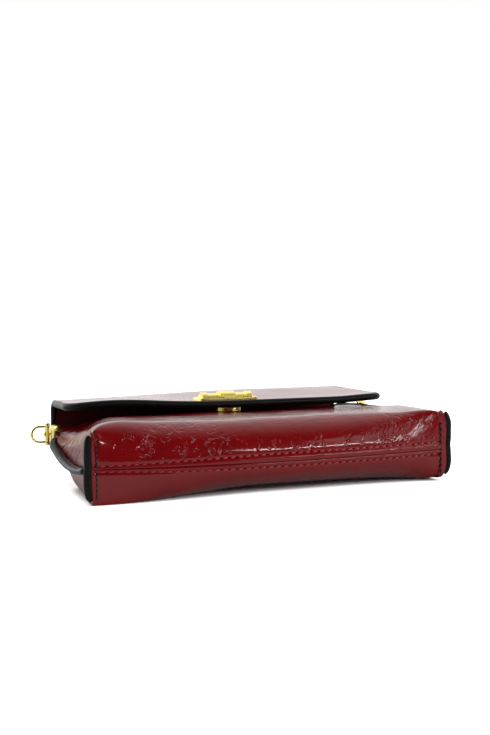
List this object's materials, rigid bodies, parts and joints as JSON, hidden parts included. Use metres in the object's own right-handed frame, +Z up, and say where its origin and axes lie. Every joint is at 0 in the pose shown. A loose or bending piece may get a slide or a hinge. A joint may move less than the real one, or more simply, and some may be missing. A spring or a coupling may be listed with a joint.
{
  "type": "clutch purse",
  "caption": "Soft red patent leather flap purse with bound black seams, boxed bottom corners, a magnetic snap, a plain gilt bar ornament and swivelling strap rings.",
  "frame": {"origin": "middle of the bounding box, on the surface the bag lies on", "axes": "+X along the bag's width to its right, +Y from the bag's bottom to the fold at its top, +Z up out of the flap"},
  "size_m": [0.2686, 0.1604, 0.0588],
  "materials": {
    "red_leather": "crinkled patent, glossy",
    "lining": "woven, matt",
    "binding": "smooth, satin",
    "gilt": "polished gilt",
    "steel": "zinc plated",
    "board": "raw board"
  },
  "bodies": {
    "body": {"front_panel": "red_leather", "back_panel": "red_leather", "front_lining": "lining", "back_lining": "lining", "slip_pocket": "lining", "side_binding_left": "binding", "side_binding_right": "binding", "corner_binding_left": "binding", "corner_binding_right": "binding", "snap_socket": "gilt", "socket_magnet": "steel", "socket_washer": "steel", "ring_clip_left": "gilt", "ring_clip_right": "gilt", "clip_rivet_left": "gilt", "clip_rivet_right": "gilt", "swivel_post_left": "gilt", "swivel_post_right": "gilt"},
    "spine": {"spine_panel": "red_leather", "spine_lining": "lining", "spine_binding_left": "binding", "spine_binding_right": "binding"},
    "flap": {"flap_panel": "red_leather", "flap_board": "board", "flap_lining": "lining", "flap_binding": "binding", "snap_stud": "gilt", "stud_washer": "steel", "clasp_plate": "gilt", "clasp_bar": "gilt", "clasp_band": "gilt", "clasp_collars": "gilt", "clasp_posts": "gilt", "clasp_nuts": "steel"},
    "ring_left": {"ring_left": "gilt"},
    "ring_right": {"ring_right": "gilt"}
  },
  "joints": [
    {"name": "spine_fold", "type": "hinge", "parent": "body", "child": "spine", "pos_m": [0, 0.07783, 0.0024], "axis": [-1, 0, 0], "range_deg": [0, 88]},
    {"name": "flap_fold", "type": "hinge", "parent": "spine", "child": "flap", "pos_m": [0, 0.07783, 0.05107], "axis": [-1, 0, 0], "range_deg": [0, 84]},
    {"name": "ring_left_swivel", "type": "hinge", "parent": "body", "child": "ring_left", "pos_m": [-0.1225, 0.03882, 0.03242], "axis": [1, 0, 0], "continuous": true},
    {"name": "ring_right_swivel", "type": "hinge", "parent": "body", "child": "ring_right", "pos_m": [0.1225, 0.03882, 0.0403], "axis": [1, 0, 0], "continuous": true}
  ]
}
